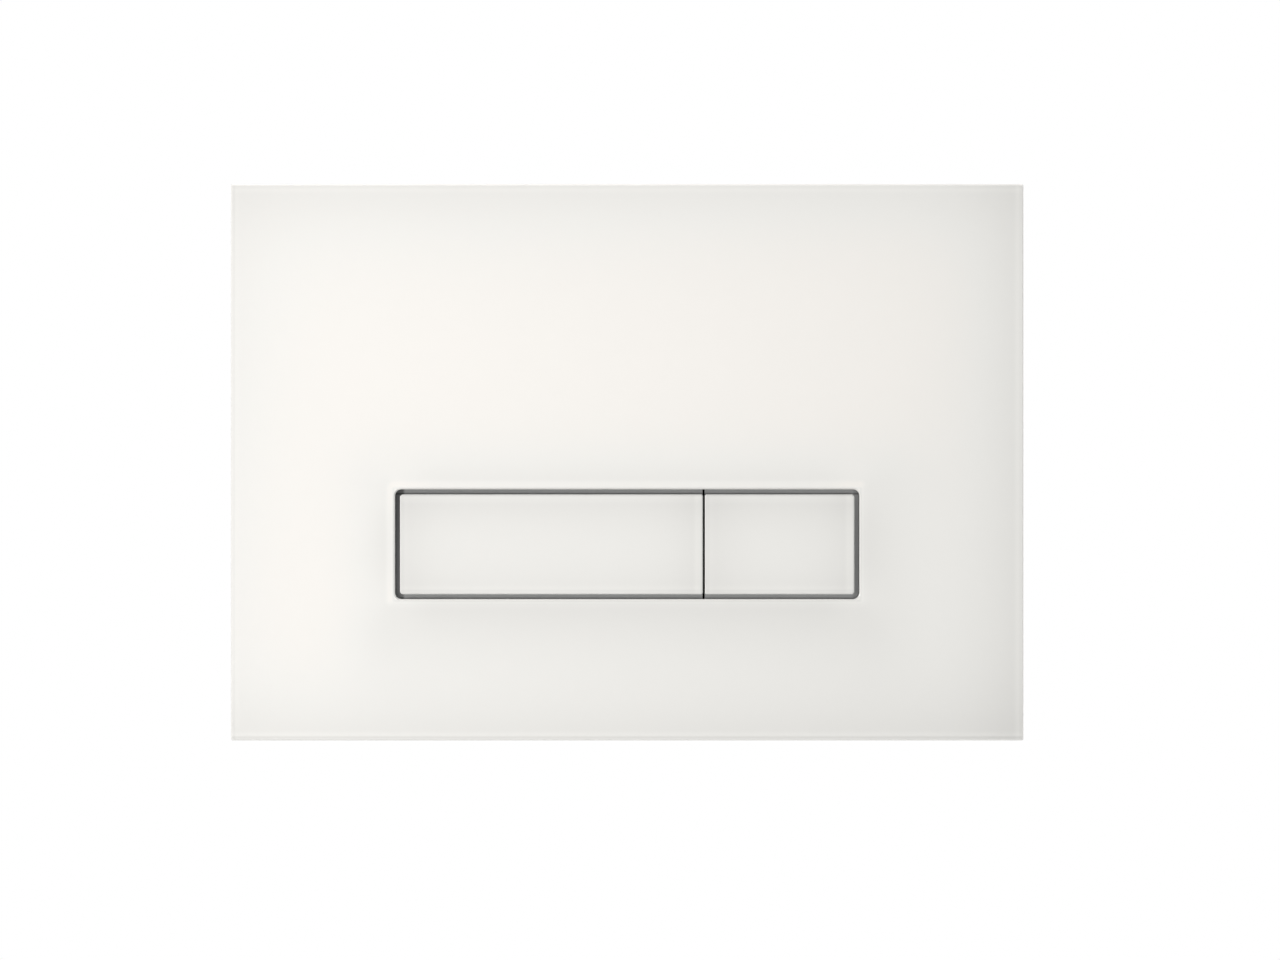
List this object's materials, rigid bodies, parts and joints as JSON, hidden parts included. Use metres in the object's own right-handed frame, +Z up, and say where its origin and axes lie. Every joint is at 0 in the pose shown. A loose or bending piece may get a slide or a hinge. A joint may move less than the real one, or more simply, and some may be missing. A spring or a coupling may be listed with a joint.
{
  "type": "flush button plate",
  "caption": "Rectangular white glass wall plate with a low window holding a wide and a narrow hinged flush button, on a push-fit tray and a wall frame with push rods and fixing studs.",
  "frame": {"origin": "middle of the plate's outline, on the wall plane that the mounting flange rests on", "axes": "+X to the right seen from the front, +Y into the wall, +Z up"},
  "size_m": [0.235, 0.0978, 0.165],
  "materials": {
    "white_glass": "float glass painted white on the back, polished edges",
    "foam_tape": "acrylic foam, matt",
    "tray_plastic": "moulded, fine grain",
    "steel": "drawn, bright",
    "buffer_rubber": "matt black",
    "frame_plastic": "moulded, light grey",
    "stud_plastic": "glass-filled nylon, natural",
    "nut_plastic": "nylon, dark grey",
    "bush_plastic": "acetal, white",
    "spring_steel": "stainless strip, rolled",
    "carrier_grey": "moulded, satin metallic grey",
    "rod_plastic": "nylon, blue",
    "cap_plastic": "acetal, white"
  },
  "bodies": {
    "wall_assembly": {"glass_plate": "white_glass", "plate_tape": "foam_tape", "back_frame": "tray_plastic", "hinge_axle": "steel", "stop_buffers": "buffer_rubber", "mounting_frame": "frame_plastic", "fixing_stud_left": "stud_plastic", "fixing_stud_right": "stud_plastic", "stud_nut_left": "nut_plastic", "stud_nut_right": "nut_plastic", "full_guide_bush": "bush_plastic", "half_guide_bush": "bush_plastic", "full_return_springs": "spring_steel", "half_return_springs": "spring_steel"},
    "full_button": {"full_button_glass": "white_glass", "full_button_tape": "foam_tape", "full_button_carrier": "carrier_grey", "full_pusher_pad": "buffer_rubber"},
    "half_button": {"half_button_glass": "white_glass", "half_button_tape": "foam_tape", "half_button_carrier": "carrier_grey", "half_pusher_pad": "buffer_rubber"},
    "full_rod": {"full_push_rod": "rod_plastic", "full_rod_cap": "cap_plastic"},
    "half_rod": {"half_push_rod": "rod_plastic", "half_rod_cap": "cap_plastic"}
  },
  "joints": [
    {"name": "full_button_press", "type": "hinge", "parent": "wall_assembly", "child": "full_button", "pos_m": [0, -0.0039, -0.001], "axis": [1, 0, 0], "range_deg": [0, 8], "stiffness_Nm_per_rad": 1.2, "springref_deg": -6.88, "deforming": ["full_return_springs"]},
    {"name": "half_button_press", "type": "hinge", "parent": "wall_assembly", "child": "half_button", "pos_m": [0, -0.0039, -0.001], "axis": [1, 0, 0], "range_deg": [0, 8], "stiffness_Nm_per_rad": 1, "springref_deg": -6.88, "deforming": ["half_return_springs"]},
    {"name": "full_rod_slide", "type": "slide", "parent": "wall_assembly", "child": "full_rod", "axis": [0, 1, 0], "range_m": [0, 0.0044]},
    {"name": "half_rod_slide", "type": "slide", "parent": "wall_assembly", "child": "half_rod", "axis": [0, 1, 0], "range_m": [0, 0.0044]}
  ],
  "couplings": [
    {"joint": "full_rod_slide", "follows": "full_button_press", "m_per_rad": 0.031},
    {"joint": "half_rod_slide", "follows": "half_button_press", "m_per_rad": 0.031}
  ]
}
